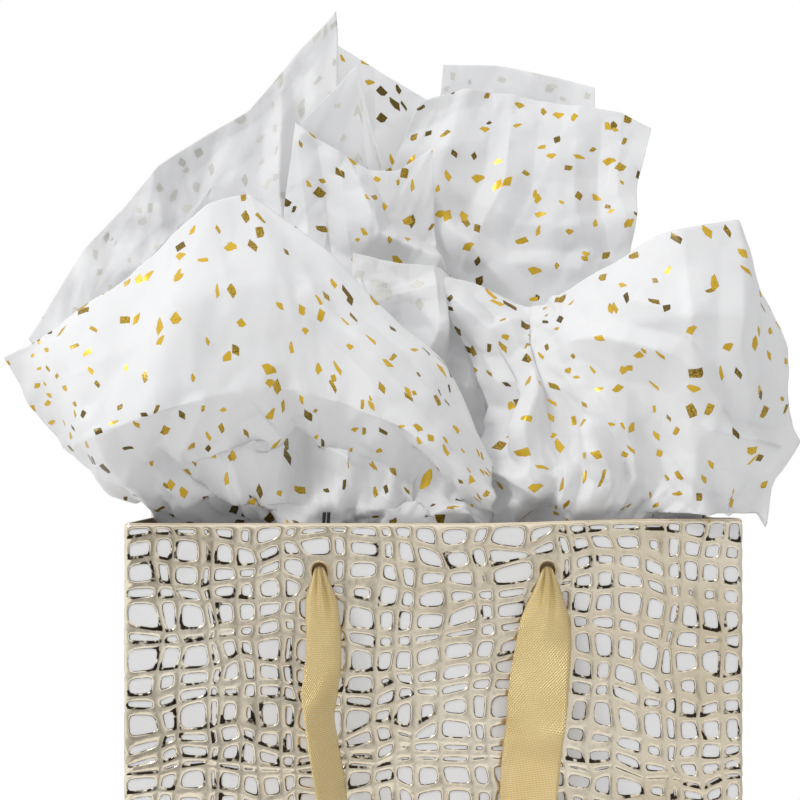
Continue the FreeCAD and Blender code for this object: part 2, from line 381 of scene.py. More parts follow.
def tissue_material(name, printed):
    """White tissue that lets light through, printed on one face with gold flecks."""
    s = Shader(name)
    flat = s.node("ShaderNodeUVMap", uv_map="flat").outputs[0]
    first, tint_a = flecks(s, flat, 11.4 * MM, (0.0, 0.0, 0.0))
    second, tint_b = flecks(s, flat, 16.0 * MM, (0.0071, 0.0043, 0.0))
    mask = s.maths("MAXIMUM", first, second)
    tint = s.maths("MAXIMUM", s.maths("MULTIPLY", first, tint_a), s.maths("MULTIPLY", second, tint_b))
    cloud = s.noise(flat, 30.0, 3.0)
    paper = s.mix(s.ramp(cloud, 0.25, 0.75), rgb(0.92, 0.922, 0.93), rgb(0.96, 0.962, 0.968))
    fibres = s.noise(flat, 1800.0, 2.0)
    rough_skin = s.bump(fibres, 0.12, 0.0001)
    if printed:
        hammered = s.noise(flat, 2100.0, 2.0)
        patches = s.noise(flat, 16.0, 2.0)
        uneven = s.maths("ADD", s.maths("MULTIPLY", hammered, 0.5), s.maths("MULTIPLY", patches, 1.1))
        uneven = s.maths("ADD", uneven, s.maths("MULTIPLY", tint, 0.40))
        gold = s.mix(s.ramp(uneven, 0.84, 1.02), rgb(0.12, 0.08, 0.012), rgb(0.68, 0.44, 0.03))
        colour = s.mix(mask, paper, gold)
        rough = s.spread(mask, 0.62, 0.30)
        metal = s.maths("MULTIPLY", mask, 0.45)
        share = s.spread(mask, 0.36, 0.0)
    else:
        ghost = s.mix(s.ramp(tint, 0.0, 1.0), rgb(0.73, 0.73, 0.68), rgb(0.85, 0.85, 0.81))
        colour = s.mix(mask, paper, ghost)
        rough = s.spread(mask, 0.62, 0.45)
        metal = 0.0
        share = s.spread(mask, 0.42, 0.14)
    face = s.principled(
        {"Base Color": colour, "Roughness": rough, "Metallic": metal, "Normal": rough_skin}
    )
    through = s.node("ShaderNodeBsdfTranslucent", {"Color": colour}).outputs[0]
    return s.finish(s.node("ShaderNodeMixShader", {0: share, 1: face, 2: through}).outputs[0])


def cord_material():
    """Matt black twisted cord."""
    s = Shader("black_cord")
    place = s.place()
    strands = s.noise(place, 2600.0, 2.0)
    colour = s.mix(s.ramp(strands, 0.3, 0.7), rgb(0.008, 0.008, 0.01), rgb(0.03, 0.03, 0.034))
    inputs = {"Base Color": colour, "Roughness": 0.85, "Normal": s.bump(strands, 0.5, 0.0002)}
    return s.finish(s.principled(inputs))


FOIL = foil_material()
CELLS = cell_material()
LINING = kraft_material("kraft_lining", rgb(0.30, 0.22, 0.13), rgb(0.20, 0.145, 0.08))
CARD = kraft_material("grey_card", rgb(0.42, 0.39, 0.35), rgb(0.30, 0.28, 0.25))
SATIN = satin_material("satin_face", rgb(1.0, 0.86, 0.48), rgb(0.60, 0.355, 0.07), 0.56)
SATIN_BACK = satin_material("satin_reverse", rgb(0.80, 0.57, 0.22), rgb(0.58, 0.38, 0.11), 0.3)
PRINTED = tissue_material("tissue_printed", True)
PLAIN = tissue_material("tissue_reverse", False)
CORD = cord_material()


# --- the folded bag --------------------------------------------------------------------------

PERIMETER = 4 * (HALF_WIDTH + HALF_DEPTH)
FOLD = 1.1 * MM
CREST = 0.42 * MM
EDGE_POINTS = 4
RING = 4 * EDGE_POINTS


def outline_at(u, share):
    """Points of the bag's outline at distance u round it; share is the height over the whole."""
    crease = HALF_WIDTH - TUCK * share
    w, d = HALF_WIDTH, HALF_DEPTH
    one = np.ones_like(share)
    xs = np.stack([-w * one, w * one, crease, w * one, -w * one, -crease, -w * one])
    ys = np.array([-d, -d, 0, d, d, 0, -d])
    at = np.array([0, 2 * w, 2 * w + d, 2 * w + 2 * d, 4 * w + 2 * d, 4 * w + 3 * d, 4 * (w + d)])
    u = u % PERIMETER
    side = np.clip(np.searchsorted(at, u, side="right") - 1, 0, 5)
    t = (u - at[side]) / (at[side + 1] - at[side])
    low = np.take_along_axis(xs, side[None], 0)[0]
    high = np.take_along_axis(xs, side[None] + 1, 0)[0]
    return np.stack([low + (high - low) * t, ys[side] + (ys[side + 1] - ys[side]) * t], axis=-1)


def wall(u, v, out):
    """Point of the bag's wall: u round it from the front left corner, v up, out from its face."""
    u, v, out = (np.asarray(a, float) for a in np.broadcast_arrays(u, v, out))
    share = np.clip(v / HEIGHT, 0, 1)
    shifts = np.array([-1, -0.5, 0, 0.5, 1]) * FOLD
    samples = [outline_at(u + shift, share) for shift in shifts]
    middle = sum(samples) / len(samples)
    along = samples[-1] - samples[0]
    along /= np.linalg.norm(along, axis=-1, keepdims=True)
    normal = np.stack([along[..., 1], -along[..., 0]], axis=-1)
    flat = smooth_step(np.abs(middle[..., 1]), 0.8 * HALF_DEPTH, HALF_DEPTH)
    flat *= 1 - (np.abs(middle[..., 0]) / HALF_WIDTH) ** 4
    belly = 0.9 * MM * flat * np.sin(math.pi * share**0.8)
    belly += 0.25 * MM * (1 + drift(u, v, 0.09, 5).clip(-1, 1)) * flat
    point = middle + normal * (out + belly)[..., None]
    rise = smooth_step(point[..., 0], 0.08 * HALF_WIDTH, 0.75 * HALF_WIDTH) * share**8
    front = smooth_step(-point[..., 1], 0.0, HALF_DEPTH)
    return np.concatenate([point, (v + 1.5 * MM * rise * front)[..., None]], axis=-1)


def uneven_steps(total, low, high, rng):
    steps = []
    while sum(steps) < total:
        steps.append(rng.uniform(low, high))
    steps = np.array(steps) * total / sum(steps)
    return np.concatenate([[0], np.cumsum(steps)])


def lattice(rng):
    """Crossing points of the net of bands, round the bag and up it; a column runs up each fold."""
    sides = [2 * HALF_WIDTH, HALF_DEPTH, HALF_DEPTH, 2 * HALF_WIDTH, HALF_DEPTH, HALF_DEPTH]
    folds = np.concatenate([[0], np.cumsum(sides)])
    columns = np.concatenate(
        [start + uneven_steps(side, 3.4 * MM, 10.5 * MM, rng)[:-1] for start, side in zip(folds, sides)]
    )
    rows = uneven_steps(HEIGHT, 2.8 * MM, 9.6 * MM, rng)
    u, v = np.meshgrid(columns, rows, indexing="ij")
    ring = PERIMETER / math.tau
    x, y = ring * np.cos(u / ring), ring * np.sin(u / ring)
    inside = smooth_step(v, 0, 7 * MM) * smooth_step(HEIGHT - v, 0, 7 * MM)
    off_fold = smooth_step(np.abs(u[..., None] - folds).min(-1), 0, 10 * MM)
    sway = 2.6 * drift(x + 0.7 * v, y - 0.5 * v, 0.075, 11)
    v = v + inside * MM * (sway + 1.3 * drift(1.3 * x + v, y + 2.2 * v, 0.020, 17))
    bend = 1.5 * drift(x - v, y + 1.1 * v, 0.060, 23)
    u = u + off_fold * MM * (bend + 0.8 * drift(x + 2.3 * v, y - 1.7 * v, 0.017, 29))
    u = u + off_fold * rng.uniform(-0.45, 0.45, u.shape) * MM
    v = v + inside * rng.uniform(-0.6, 0.6, v.shape) * MM
    v[:, -1] = HEIGHT
    for row in range(1, len(rows)):
        v[:, row] = np.maximum(v[:, row], v[:, row - 1] + 1.6 * MM)
    for row in range(len(rows) - 1, -1, -1):
        v[:, row] = np.minimum(v[:, row], HEIGHT - (len(rows) - 1 - row) * 1.6 * MM)
    for column in range(1, len(columns)):
        u[column] = np.maximum(u[column], u[column - 1] + 1.6 * MM)
    return np.stack([u, v], axis=-1)


def hole_places():
    """Centres of the four punched holes, as (u, v)."""
    middle_front = HALF_WIDTH
    middle_back = 3 * HALF_WIDTH + 2 * HALF_DEPTH
    return [(m + s * HOLE_X, HOLE_Z) for m in (middle_front, middle_back) for s in (-1, 1)]


def make_room(nodes):
    """Moves the four crossings round each hole apart, and says which cells are holes."""
    holes = {}
    reach = 4.4 * MM
    centres = (nodes[:-1, :-1] + nodes[1:, :-1] + nodes[:-1, 1:] + nodes[1:, 1:]) / 4
    for hole in hole_places():
        gap = np.linalg.norm(centres - np.array(hole), axis=-1)
        column, row = np.unravel_index(gap.argmin(), gap.shape)
        for i, j in ((0, 0), (1, 0), (1, 1), (0, 1)):
            nodes[column + i, row + j] = (hole[0] + (2 * i - 1) * reach, hole[1] + (2 * j - 1) * reach)
        holes[(column, row)] = hole
    return holes


def unit_ring():
    """Points round a square from -1 to 1, starting at its lower left corner."""
    side = np.arange(EDGE_POINTS) / EDGE_POINTS * 2 - 1
    one = np.ones(EDGE_POINTS)
    return np.concatenate(
        [
            np.stack([side, -one], 1),
            np.stack([one, side], 1),
            np.stack([-side, one], 1),
            np.stack([-one, -side], 1),
        ]
    )


def bilinear(corners, a, b):
    """Points in four-cornered cells: corners (n, 4, 2); a and b (n, k) run from -1 to 1."""
    weights = np.stack(
        [(1 - a) * (1 - b), (1 + a) * (1 - b), (1 + a) * (1 + b), (1 - a) * (1 + b)], axis=-1
    )
    return np.einsum("nkc,ncd->nkd", weights / 4, corners)


def embossed_sheet():
    """The outer sheet with its net of raised bands, cell by cell, and its inner face."""
    rng = np.random.default_rng(4)
    nodes = lattice(rng)
    wrap = nodes[:1].copy()
    wrap[..., 0] += PERIMETER
    nodes = np.concatenate([nodes, wrap])
    holes = make_room(nodes)
    columns, rows = nodes.shape[0] - 1, nodes.shape[1] - 1
    corners = np.stack([nodes[:-1, :-1], nodes[1:, :-1], nodes[1:, 1:], nodes[:-1, 1:]], axis=2)
    corners = corners.reshape(-1, 4, 2)
    count = len(corners)
    ring = unit_ring()
    a = np.broadcast_to(ring[:, 0], (count, RING))
    b = np.broadcast_to(ring[:, 1], (count, RING))
    width = np.linalg.norm(corners[:, [1, 2]] - corners[:, [0, 3]], axis=-1).mean(1)[:, None]
    tall = np.linalg.norm(corners[:, [3, 2]] - corners[:, [0, 1]], axis=-1).mean(1)[:, None]
    band = rng.uniform(0.95, 1.65, (count, 1)) * MM
    band *= np.where(rng.random((count, 1)) < 0.08, 1.7, 1.0)
    power = rng.uniform(2.8, 5.5, (count, 1))
    round_off = (np.abs(a) ** power + np.abs(b) ** power) ** (-1 / power)
    layers = [bilinear(corners, a, b)]
    heights = [CREST]
    for beyond, height in ((0.55, 0.95), (0.17, 0.70), (0.0, 0.0)):
        across = np.clip(1 - 2 * (band - beyond * MM) / width, 0.07 + 0.1 * beyond, 0.97)
        upward = np.clip(1 - 2 * (band - beyond * MM) / tall, 0.07 + 0.1 * beyond, 0.97)
        layers.append(bilinear(corners, a * round_off * across, b * round_off * upward))
        heights.append(CREST * height)
    turn = np.arctan2(ring[:, 1], ring[:, 0])
    circle = np.stack([np.cos(turn), np.sin(turn)], axis=1)
    is_hole = np.zeros(count, bool)
    out = np.repeat(np.array(heights)[:, None], count, 1)
    for (column, row), hole in holes.items():
        cell = column * rows + row
        is_hole[cell] = True
        for layer, radius, height in ((1, 1.35, CREST), (2, 1.02, 0.8 * CREST), (3, 1.0, -PAPER)):
            layers[layer][cell] = np.array(hole) + circle * HOLE_RADIUS * radius
            out[layer, cell] = height
    layers.append(layers[0].copy())
    flat = np.stack(layers)
    out = np.concatenate([out, np.full((1, count), -PAPER)])
    points = wall(flat[..., 0], flat[..., 1], out[..., None])
    index = np.arange(flat.shape[0] * count * RING).reshape(flat.shape[0], count, RING)
    after = np.roll(index, -1, axis=2)
    faces, material_of = [], []
    for layer in range(3):
        quads = np.stack([index[layer], after[layer], after[layer + 1], index[layer + 1]], axis=-1)
        faces += quads.reshape(-1, 4).tolist()
        material_of += [0] * (count * RING)
    faces += index[3][~is_hole].tolist()
    material_of += [1] * int((~is_hole).sum())
    faces += index[4][~is_hole][:, ::-1].tolist()
    material_of += [2] * int((~is_hole).sum())
    back = np.stack([index[4], index[3], after[3], after[4]], axis=-1)[is_hole]
    faces += back.reshape(-1, 4).tolist()
    material_of += [2] * (len(back) * RING)
    cells = np.arange(count).reshape(columns, rows)
    for row, start in ((0, 0), (rows - 1, 2 * EDGE_POINTS)):
        for k in range(start, start + EDGE_POINTS):
            edge = np.stack([index[0], index[4], after[4], after[0]], axis=-1)[cells[:, row], k]
            faces += edge.tolist()
            material_of += [0] * len(edge)
    # Painted shade for the foil: a dark line round the foot of each cell's wall, thickest on one side
    # (mostly the lower one), in runs, and stronger towards the front left corner, kept in outline and
    # painted into the foil's colour.
    shade_from = rng.normal(0, 0.75, (count, 1))
    toward = ring[:, 0] * np.sin(shade_from) + ring[:, 1] * np.cos(shade_from)
    bottom = np.clip(-toward * 1.5 - 0.3, 0, 1)
    middle = corners.mean(1)
    runs = drift(0.5 * middle[:, 0], 3.0 * middle[:, 1], 0.045, 61)[:, None]
    left = 1 - smooth_step(middle[:, :1], 0, 1.3 * HALF_WIDTH)
    strength = np.clip(rng.uniform(0.36, 0.84, (count, 1)) + 0.35 * runs + 0.26 * left, 0.1, 1.0)
    outline = np.zeros(flat.shape[:3])
    outline[1] = bottom * np.clip(strength - 0.50, 0, 1) * 3.0
    outline[2] = 0.66 + 0.40 * bottom * strength
    outline[3] = 0.78 + 0.22 * bottom
    outline[:, is_hole] = 0
    return points.reshape(-1, 3), faces, material_of, outline.ravel(), index


def weld(points, faces, extra):
    """Joins points that coincide, so that neighbouring cells share their edges."""
    keys = np.round(points / (0.002 * MM)).astype(np.int64)
    _, first, name = np.unique(keys, axis=0, return_index=True, return_inverse=True)
    name = name.ravel()
    return points[first], [[int(name[i]) for i in face] for face in faces], [e[first] for e in extra]


def build_bag():
    points, faces, material_of, outline, index = embossed_sheet()
    floor_rim = np.zeros(len(points))
    floor_rim[index[3].ravel()] = 1
    points, faces, (outline, floor_rim) = weld(points, faces, (outline, floor_rim))
    bag = mesh_object("bag_shell", points, faces, [FOIL, CELLS, LINING], material_of)
    # The painted shade of the foil cells, kept as the outline attribute for the foil material.
    line = bag.data.attributes.new("outline", "FLOAT", "POINT")
    line.data.foreach_set("value", outline.astype(np.float32))
    ends = np.empty(2 * len(bag.data.edges), np.int32)
    bag.data.edges.foreach_get("vertices", ends)
    sharp = floor_rim[ends].reshape(-1, 2).min(1) > 0
    edges = bag.data.attributes.new("sharp_edge", "BOOLEAN", "EDGE")
    edges.data.foreach_set("value", sharp)
    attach(bag, "bag")
    sides = [f"{side}_gusset_{half}" for side in ("left", "right") for half in ("front", "rear")]
    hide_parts("front_panel", "back_panel", *sides)


def build_hem():
    """The sheet's top edge turned over the cards and glued down inside."""
    around = 420
    u = np.linspace(0, PERIMETER, around, endpoint=False)
    middle = -(PAPER + HEM_INSET) / 2
    half = (HEM_INSET + PAPER) / 2
    profile = [(HEIGHT - 2.0 * MM, -PAPER * 0.98)]
    for angle in np.linspace(0, math.pi, 7):
        profile.append((HEIGHT + 0.55 * MM * math.sin(angle), middle + half * math.cos(angle)))
    profile.append((HEIGHT - 9 * MM, middle - half))
    profile.append((HEM_LOW + 1 * MM, middle - half))
    profile.append((HEM_LOW, middle - half + 0.5 * PAPER))
    profile.append((HEM_LOW + 0.2 * MM, middle - half + PAPER))
    profile.append((HEIGHT - 2.2 * MM, middle - half + PAPER))
    rows = [wall(u, level, out) for level, out in profile]
    points = np.concatenate(rows)
    count = len(profile)
    faces = []
    for row in range(count):
        for k in range(around):
            a, b = row * around + k, row * around + (k + 1) % around
            c, d = ((row + 1) % count) * around + (k + 1) % around, ((row + 1) % count) * around + k
            faces.append((a, b, c, d))
    hem = mesh_object("top_hem", points, faces, [FOIL, LINING])
    inner = [0 if row < 5 else 1 for row in range(count) for _ in range(around)]
    hem.data.polygons.foreach_set("material_index", inner)
    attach(hem, "bag")
    hems = [name for name in frame["nodes"] if name.endswith("_hem")]
    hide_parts(*hems)


# --- ribbon handles --------------------------------------------------------------------------


def strip(stations, samples, across=15):
    """A ribbon through stations (x, y, z, width, turn, cup): turn is the angle of its width from
    +X towards +Y in degrees, and cup how far its middle stands out, over its width."""
    table = spline(stations, samples)
    s = np.linspace(-0.5, 0.5, across)
    turn = np.radians(table[:, 4])
    side = np.stack([np.cos(turn), np.sin(turn), np.zeros_like(turn)], axis=1)
    path = table[:, :3]
    along = np.gradient(path, axis=0)
    along /= np.linalg.norm(along, axis=1, keepdims=True)
    side -= along * (side * along).sum(1, keepdims=True)
    side /= np.linalg.norm(side, axis=1, keepdims=True)
    face = np.cross(along, side)
    width = table[:, 3, None, None]
    cup = table[:, 5, None, None]
    shape = (0.25 - s**2)[None, :, None] * 4
    spread = side[:, None] * s[None, :, None] * width
    return path[:, None] + spread + face[:, None] * shape * cup * width


RIBBON_THICKNESS = 0.32 * MM
# Stations (x, y, z, width, turn, cup) of the front handle, from its left hole round to its right one.
FRONT_RIBBON = [
    (-37.4, -46.0, 239.0, 3.6, 0, 0.20),
    (-37.4, -51.0, 239.2, 3.8, 0, 0.30),
    (-37.3, -54.6, 236.5, 5.2, 0, 0.35),
    (-36.8, -56.2, 229.0, 10.5, 6, 0.24),
    (-36.0, -58.2, 219.0, 11.5, 8, 0.18),
    (-36.0, -59.8, 209.0, 12.0, 12, 0.14),
    (-37.0, -60.2, 201.0, 14.0, 34, 0.10),
    (-37.2, -61.2, 193.0, 18.0, 58, 0.08),
    (-35.9, -61.6, 183.0, 19.0, 61, 0.06),
    (-33.3, -62.2, 168.0, 19.0, 61, 0.04),
    (-31.2, -62.8, 150.0, 19.0, 66, 0.02),
    (-31.5, -63.0, 128.0, 19.0, 76, 0.01),
    (-23.0, -63.4, 106.0, 19.0, 86, 0.0),
    (-9.0, -63.6, 93.5, 19.0, 90, 0.0),
    (9.0, -63.6, 91.5, 19.0, 90, 0.0),
    (22.5, -63.2, 101.0, 19.0, 94, 0.0),
    (28.2, -61.8, 120.0, 19.0, 120, 0.01),
    (29.6, -60.2, 140.0, 19.0, 148, 0.02),
    (30.6, -59.4, 160.0, 19.0, 166, 0.03),
    (31.4, -58.9, 173.0, 19.2, 172, 0.02),
    (32.5, -61.3, 185.0, 19.6, 168, 0.02),
    (33.2, -61.7, 190.0, 19.6, 170, 0.02),
    (34.2, -58.9, 201.0, 19.6, 180, 0.04),
    (35.6, -57.4, 212.0, 18.6, 182, 0.09),
    (36.6, -56.4, 223.0, 16.0, 182, 0.16),
    (37.3, -55.6, 232.0, 9.5, 180, 0.26),
    (37.4, -53.6, 238.0, 4.6, 180, 0.34),
    (37.5, -51.0, 239.2, 3.8, 180, 0.30),
    (37.5, -46.0, 239.0, 3.6, 180, 0.20),
]


def build_ribbon(wall_name):
    samples, across = 260, 15
    grid = strip(FRONT_RIBBON, samples, across) * MM
    width = np.linspace(0, RIBBON_WIDTH, across)
    steps = np.linalg.norm(np.diff(grid[:, across // 2], axis=0), axis=1)
    run = np.concatenate([[0], np.cumsum(steps)])
    pleats = smooth_step(grid[..., 2], HOLE_Z - 24 * MM, HOLE_Z - 2 * MM)
    folds = np.cos(np.linspace(0, 3 * math.tau, across))[None]
    grid[..., 1] += 0.9 * MM * pleats * folds
    grid[..., 1] += 0.5 * MM * drift(0.6 * grid[..., 0], grid[..., 2], 0.022, 41) * (1 - pleats)
    if wall_name == "back":
        grid[..., :2] *= -1
    uv = np.stack(np.broadcast_arrays(width[None], run[:, None]), axis=-1).reshape(-1, 2)
    faces = grid_faces(samples, across)[:, ::-1]
    name = f"{wall_name}_ribbon"
    ribbon = mesh_object(name, grid.reshape(-1, 3), faces, [SATIN, SATIN_BACK], uv=uv)
    thicken(ribbon, RIBBON_THICKNESS)
    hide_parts(f"{wall_name}_handle_ribbon")
    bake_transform(ribbon)


def build_knot(name, low_high):
    """The ribbon's end tied in an overhand knot behind the hem."""
    low, high = (np.array(c) for c in low_high)
    front = name.startswith("front")
    centre = (low + high) / 2
    centre[1] = (high[1] - 5.2 * MM) if front else (low[1] + 5.2 * MM)
    t = np.linspace(0, math.tau, 97)[:-1]
    x = np.sin(t) + 2 * np.sin(2 * t)
    z = np.cos(t) - 2 * np.cos(2 * t)
    y = -np.sin(3 * t)
    size = 1.25 * MM
    path = np.stack([x * size, y * size * 1.5, z * size], axis=1)
    along = np.roll(path, -1, 0) - np.roll(path, 1, 0)
    along /= np.linalg.norm(along, axis=1, keepdims=True)
    side = np.cross(along, path - path.mean(0))
    side /= np.linalg.norm(side, axis=1, keepdims=True)
    face = np.cross(side, along)
    points, faces, uv = [], [], []
    ring = 12
    for k in range(len(t)):
        for r in range(ring):
            angle = r / ring * math.tau
            spread = side[k] * math.cos(angle) * 2.3 * MM + face[k] * math.sin(angle) * 1.0 * MM
            points.append(path[k] + spread)
            uv.append((r / ring * 12 * MM, k / len(t) * 60 * MM))
            here, after = k * ring, (k + 1) % len(t) * ring
            beside = (r + 1) % ring
            faces.append((here + r, here + beside, after + beside, after + r))
    points = np.array(points)
    if not front:
        points[:, 1] *= -1
        faces = [face_[::-1] for face_ in faces]
    knot = mesh_object(name + "_tied", points + centre, faces, [SATIN], uv=uv)
    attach(knot, "bag")
    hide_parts(name)


def build_cord():
    """Two cut ends of black cord tied round the left front knot, rising above the rim."""
    _, high = (np.array(c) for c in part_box("tag_cord_ends"))
    radius, steps, ring = 0.55 * MM, 60, 12
    t, angle = np.meshgrid(np.linspace(0, 1, steps), np.arange(ring) / ring * math.tau, indexing="ij")
    lobe = radius * (1 + 0.16 * np.cos(3 * (angle - t * 6 * math.tau)))
    around = np.stack([np.cos(angle), np.sin(angle), np.zeros_like(t)], axis=-1) * lobe[..., None]
    points, faces = [], []
    for shift in (-0.75 * MM, 0.75 * MM):
        start = np.array([-HOLE_X - 0.2 * MM + shift, -HALF_DEPTH + 2.0 * MM, HOLE_Z + 3.0 * MM])
        end = np.array([high[0] - 1.6 * MM + shift, -HALF_DEPTH + 2.2 * MM, high[2] - 0.9 * MM])
        path = start + (end - start) * t[..., None]
        path[..., 0] += 0.5 * MM * np.sin(t * math.pi)
        first = len(points) * steps * ring
        index = np.arange(steps * ring).reshape(steps, ring) + first
        after = np.roll(index, -1, axis=1)
        sides = np.stack([index[:-1], after[:-1], after[1:], index[1:]], axis=-1)
        faces += sides.reshape(-1, 4).tolist()
        faces += [index[0][::-1].tolist(), index[-1].tolist()]
        points.append((path + around).reshape(-1, 3))
    ends = mesh_object("cord_ends", np.concatenate(points), faces, [CORD])
    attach(ends, "bag")
    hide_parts("tag_cord_ends")


# --- tissue paper ----------------------------------------------------------------------------

